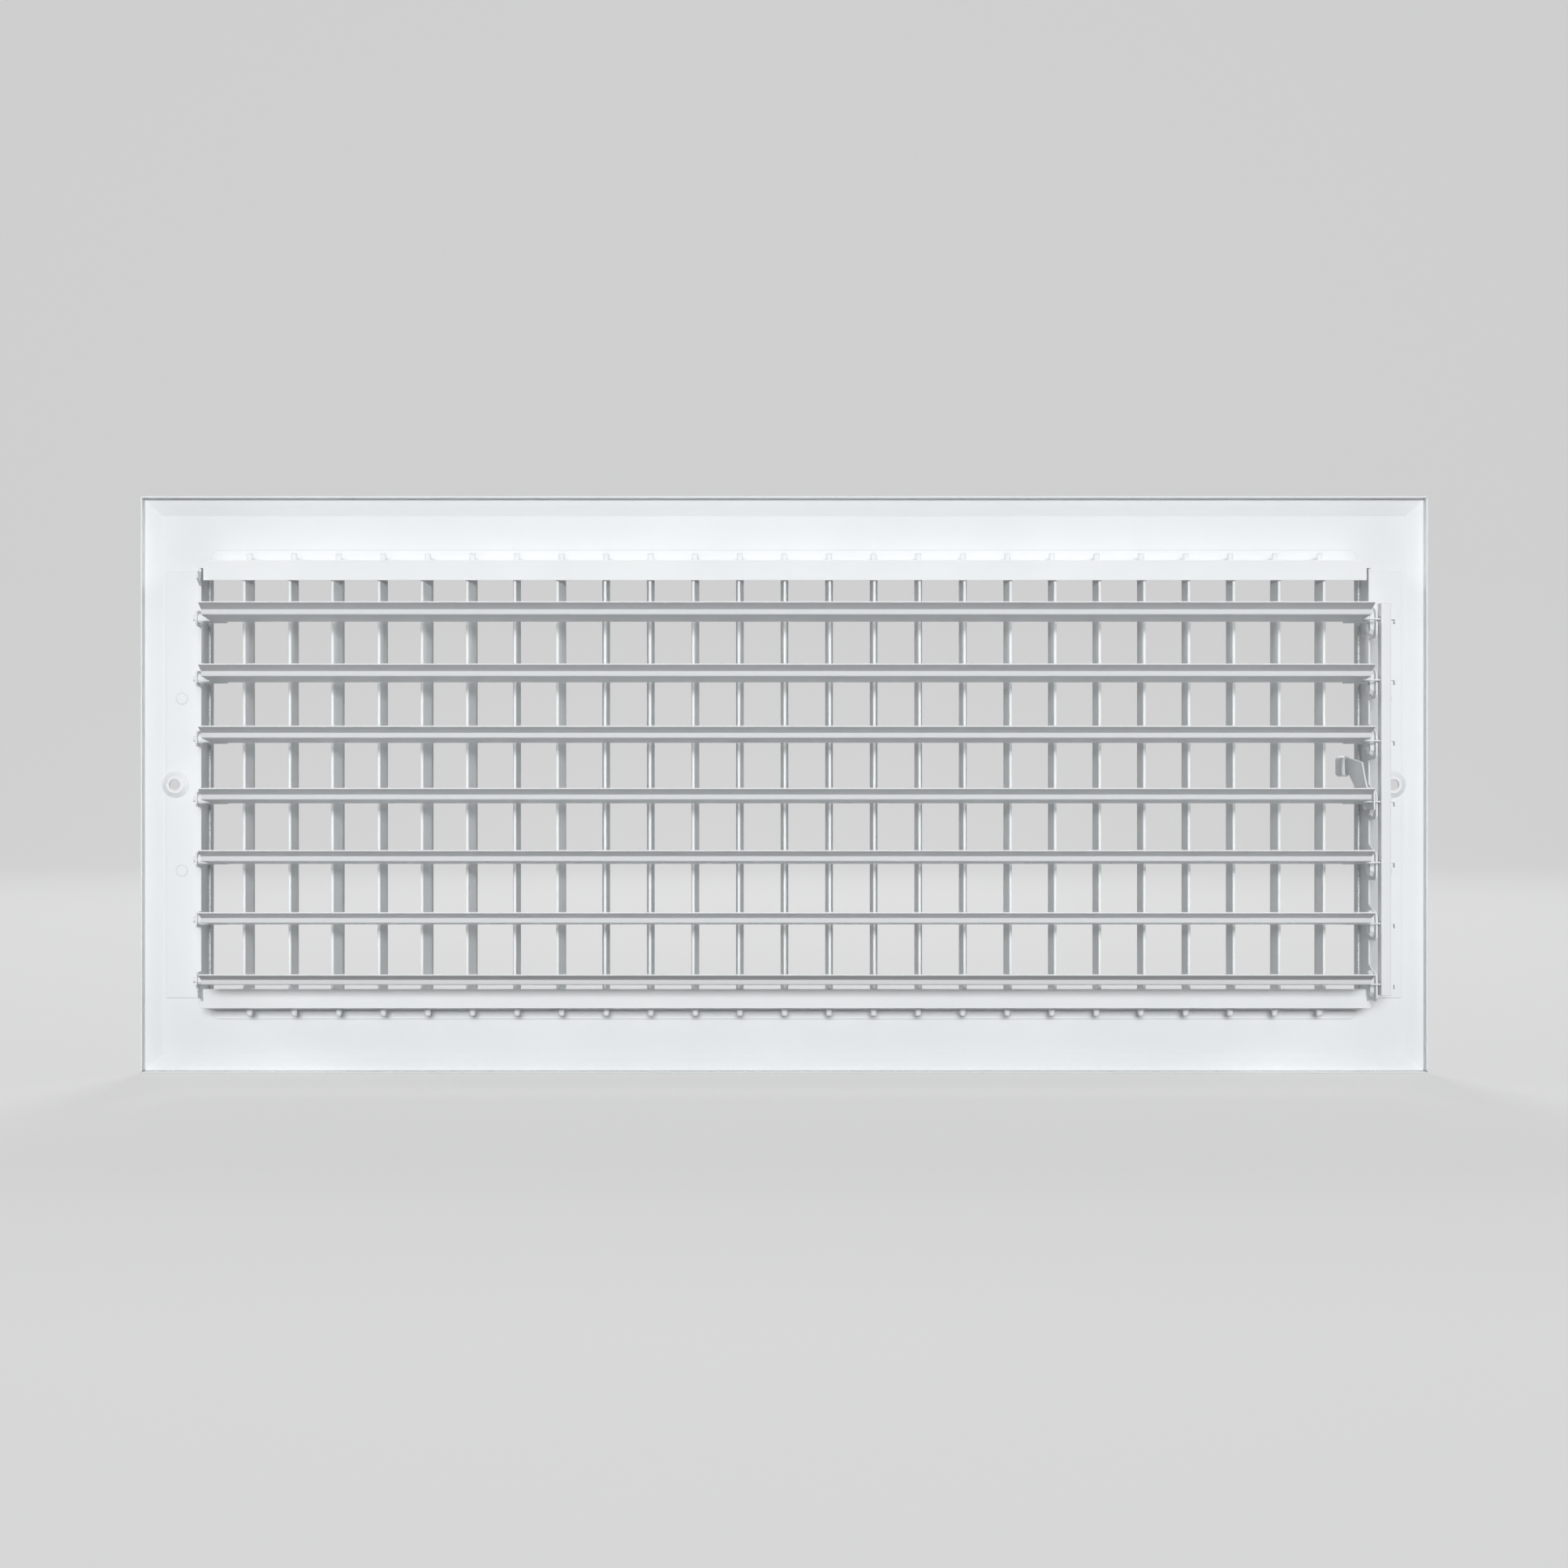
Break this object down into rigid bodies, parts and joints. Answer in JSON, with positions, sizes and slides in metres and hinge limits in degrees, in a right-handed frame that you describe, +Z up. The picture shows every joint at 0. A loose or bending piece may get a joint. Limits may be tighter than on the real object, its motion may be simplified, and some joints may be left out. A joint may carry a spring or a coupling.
{
  "type": "supply air register",
  "caption": "Stamped white wall register with upright turning fins in front of a lever-worked multi-blade damper, seen from its duct side.",
  "frame": {"origin": "centre of the opening on the wall plane, where the rim of the face touches the wall", "axes": "+X along the width, +Z up, +Y out into the room; the neck reaches into the duct along -Y"},
  "size_m": [0.5524, 0.0643, 0.2476],
  "materials": {
    "face_enamel": "semi-gloss powder coat",
    "frame_enamel": "semi-gloss powder coat",
    "fin_enamel": "semi-gloss powder coat",
    "blade_enamel": "satin coil coat",
    "linkage_enamel": "satin coil coat",
    "knob_plastic": "smooth moulded"
  },
  "bodies": {
    "frame": {"face_plate": "face_enamel", "left_side_plate": "frame_enamel", "right_side_plate": "frame_enamel", "top_fin_rail": "frame_enamel", "bottom_fin_rail": "frame_enamel", "top_damper_rail": "frame_enamel", "bottom_damper_rail": "frame_enamel"},
    "fin_01": {"fin_01": "fin_enamel"},
    "fin_02": {"fin_02": "fin_enamel"},
    "fin_03": {"fin_03": "fin_enamel"},
    "fin_04": {"fin_04": "fin_enamel"},
    "fin_05": {"fin_05": "fin_enamel"},
    "fin_06": {"fin_06": "fin_enamel"},
    "fin_07": {"fin_07": "fin_enamel"},
    "fin_08": {"fin_08": "fin_enamel"},
    "fin_09": {"fin_09": "fin_enamel"},
    "fin_10": {"fin_10": "fin_enamel"},
    "fin_11": {"fin_11": "fin_enamel"},
    "fin_12": {"fin_12": "fin_enamel"},
    "fin_13": {"fin_13": "fin_enamel"},
    "fin_14": {"fin_14": "fin_enamel"},
    "fin_15": {"fin_15": "fin_enamel"},
    "fin_16": {"fin_16": "fin_enamel"},
    "fin_17": {"fin_17": "fin_enamel"},
    "fin_18": {"fin_18": "fin_enamel"},
    "fin_19": {"fin_19": "fin_enamel"},
    "fin_20": {"fin_20": "fin_enamel"},
    "fin_21": {"fin_21": "fin_enamel"},
    "fin_22": {"fin_22": "fin_enamel"},
    "fin_23": {"fin_23": "fin_enamel"},
    "fin_24": {"fin_24": "fin_enamel"},
    "fin_25": {"fin_25": "fin_enamel"},
    "blade_1": {"blade_1": "blade_enamel"},
    "blade_2": {"blade_2": "blade_enamel"},
    "blade_3": {"blade_3": "blade_enamel"},
    "blade_4": {"blade_4": "blade_enamel", "damper_lever": "linkage_enamel", "lever_knob": "knob_plastic"},
    "blade_5": {"blade_5": "blade_enamel"},
    "blade_6": {"blade_6": "blade_enamel"},
    "blade_7": {"blade_7": "blade_enamel"},
    "link_bar": {"link_bar": "linkage_enamel"}
  },
  "joints": [
    {"name": "fin_01_turn", "type": "hinge", "parent": "frame", "child": "fin_01", "pos_m": [-0.2286, -0.004, 0], "axis": [0, 0, -1], "range_deg": [-84, 76]},
    {"name": "fin_02_turn", "type": "hinge", "parent": "frame", "child": "fin_02", "pos_m": [-0.20955, -0.004, 0], "axis": [0, 0, -1], "range_deg": [-82, 78]},
    {"name": "fin_03_turn", "type": "hinge", "parent": "frame", "child": "fin_03", "pos_m": [-0.1905, -0.004, 0], "axis": [0, 0, -1], "range_deg": [-89, 71]},
    {"name": "fin_04_turn", "type": "hinge", "parent": "frame", "child": "fin_04", "pos_m": [-0.17145, -0.004, 0], "axis": [0, 0, -1], "range_deg": [-84, 76]},
    {"name": "fin_05_turn", "type": "hinge", "parent": "frame", "child": "fin_05", "pos_m": [-0.1524, -0.004, 0], "axis": [0, 0, -1], "range_deg": [-90, 70]},
    {"name": "fin_06_turn", "type": "hinge", "parent": "frame", "child": "fin_06", "pos_m": [-0.13335, -0.004, 0], "axis": [0, 0, -1], "range_deg": [-89, 71]},
    {"name": "fin_07_turn", "type": "hinge", "parent": "frame", "child": "fin_07", "pos_m": [-0.1143, -0.004, 0], "axis": [0, 0, -1], "range_deg": [-81, 79]},
    {"name": "fin_08_turn", "type": "hinge", "parent": "frame", "child": "fin_08", "pos_m": [-0.09525, -0.004, 0], "axis": [0, 0, -1], "range_deg": [-88, 72]},
    {"name": "fin_09_turn", "type": "hinge", "parent": "frame", "child": "fin_09", "pos_m": [-0.0762, -0.004, 0], "axis": [0, 0, -1], "range_deg": [-80, 80]},
    {"name": "fin_10_turn", "type": "hinge", "parent": "frame", "child": "fin_10", "pos_m": [-0.05715, -0.004, 0], "axis": [0, 0, -1], "range_deg": [-80, 80]},
    {"name": "fin_11_turn", "type": "hinge", "parent": "frame", "child": "fin_11", "pos_m": [-0.0381, -0.004, 0], "axis": [0, 0, -1], "range_deg": [-85, 75]},
    {"name": "fin_12_turn", "type": "hinge", "parent": "frame", "child": "fin_12", "pos_m": [-0.01905, -0.004, 0], "axis": [0, 0, -1], "range_deg": [-83, 77]},
    {"name": "fin_13_turn", "type": "hinge", "parent": "frame", "child": "fin_13", "pos_m": [0, -0.004, 0], "axis": [0, 0, -1], "range_deg": [-80, 80]},
    {"name": "fin_14_turn", "type": "hinge", "parent": "frame", "child": "fin_14", "pos_m": [0.01905, -0.004, 0], "axis": [0, 0, -1], "range_deg": [-80, 80]},
    {"name": "fin_15_turn", "type": "hinge", "parent": "frame", "child": "fin_15", "pos_m": [0.0381, -0.004, 0], "axis": [0, 0, -1], "range_deg": [-81, 79]},
    {"name": "fin_16_turn", "type": "hinge", "parent": "frame", "child": "fin_16", "pos_m": [0.05715, -0.004, 0], "axis": [0, 0, -1], "range_deg": [-80, 80]},
    {"name": "fin_17_turn", "type": "hinge", "parent": "frame", "child": "fin_17", "pos_m": [0.0762, -0.004, 0], "axis": [0, 0, -1], "range_deg": [-80, 80]},
    {"name": "fin_18_turn", "type": "hinge", "parent": "frame", "child": "fin_18", "pos_m": [0.09525, -0.004, 0], "axis": [0, 0, -1], "range_deg": [-77, 83]},
    {"name": "fin_19_turn", "type": "hinge", "parent": "frame", "child": "fin_19", "pos_m": [0.1143, -0.004, 0], "axis": [0, 0, -1], "range_deg": [-78, 82]},
    {"name": "fin_20_turn", "type": "hinge", "parent": "frame", "child": "fin_20", "pos_m": [0.13335, -0.004, 0], "axis": [0, 0, -1], "range_deg": [-79, 81]},
    {"name": "fin_21_turn", "type": "hinge", "parent": "frame", "child": "fin_21", "pos_m": [0.1524, -0.004, 0], "axis": [0, 0, -1], "range_deg": [-80, 80]},
    {"name": "fin_22_turn", "type": "hinge", "parent": "frame", "child": "fin_22", "pos_m": [0.17145, -0.004, 0], "axis": [0, 0, -1], "range_deg": [-81, 79]},
    {"name": "fin_23_turn", "type": "hinge", "parent": "frame", "child": "fin_23", "pos_m": [0.1905, -0.004, 0], "axis": [0, 0, -1], "range_deg": [-81, 79]},
    {"name": "fin_24_turn", "type": "hinge", "parent": "frame", "child": "fin_24", "pos_m": [0.20955, -0.004, 0], "axis": [0, 0, -1], "range_deg": [-80, 80]},
    {"name": "fin_25_turn", "type": "hinge", "parent": "frame", "child": "fin_25", "pos_m": [0.2286, -0.004, 0], "axis": [0, 0, -1], "range_deg": [-80, 80]},
    {"name": "blade_1_turn", "type": "hinge", "parent": "frame", "child": "blade_1", "pos_m": [0, -0.018, 0.0701], "axis": [-1, 0, 0], "range_deg": [-5, 73]},
    {"name": "blade_2_turn", "type": "hinge", "parent": "frame", "child": "blade_2", "pos_m": [0, -0.018, 0.0447], "axis": [-1, 0, 0], "range_deg": [-5, 73]},
    {"name": "blade_3_turn", "type": "hinge", "parent": "frame", "child": "blade_3", "pos_m": [0, -0.018, 0.0193], "axis": [-1, 0, 0], "range_deg": [-5, 73]},
    {"name": "blade_4_turn", "type": "hinge", "parent": "frame", "child": "blade_4", "pos_m": [0, -0.018, -0.0061], "axis": [-1, 0, 0], "range_deg": [-5, 73]},
    {"name": "blade_5_turn", "type": "hinge", "parent": "frame", "child": "blade_5", "pos_m": [0, -0.018, -0.0315], "axis": [-1, 0, 0], "range_deg": [-5, 73]},
    {"name": "blade_6_turn", "type": "hinge", "parent": "frame", "child": "blade_6", "pos_m": [0, -0.018, -0.0569], "axis": [-1, 0, 0], "range_deg": [-5, 73]},
    {"name": "blade_7_turn", "type": "hinge", "parent": "frame", "child": "blade_7", "pos_m": [0, -0.018, -0.0823], "axis": [-1, 0, 0], "range_deg": [-5, 73]},
    {"name": "link_bar_swing", "type": "hinge", "parent": "blade_4", "child": "link_bar", "pos_m": [0.2502, -0.02723, -0.00715], "axis": [-1, 0, 0], "range_deg": [-74, 6]}
  ],
  "couplings": [
    {"joint": "blade_1_turn", "follows": "blade_4_turn", "ratio": 1},
    {"joint": "blade_2_turn", "follows": "blade_4_turn", "ratio": 1},
    {"joint": "blade_3_turn", "follows": "blade_4_turn", "ratio": 1},
    {"joint": "blade_5_turn", "follows": "blade_4_turn", "ratio": 1},
    {"joint": "blade_6_turn", "follows": "blade_4_turn", "ratio": 1},
    {"joint": "blade_7_turn", "follows": "blade_4_turn", "ratio": 1},
    {"joint": "link_bar_swing", "follows": "blade_4_turn", "ratio": -1}
  ]
}
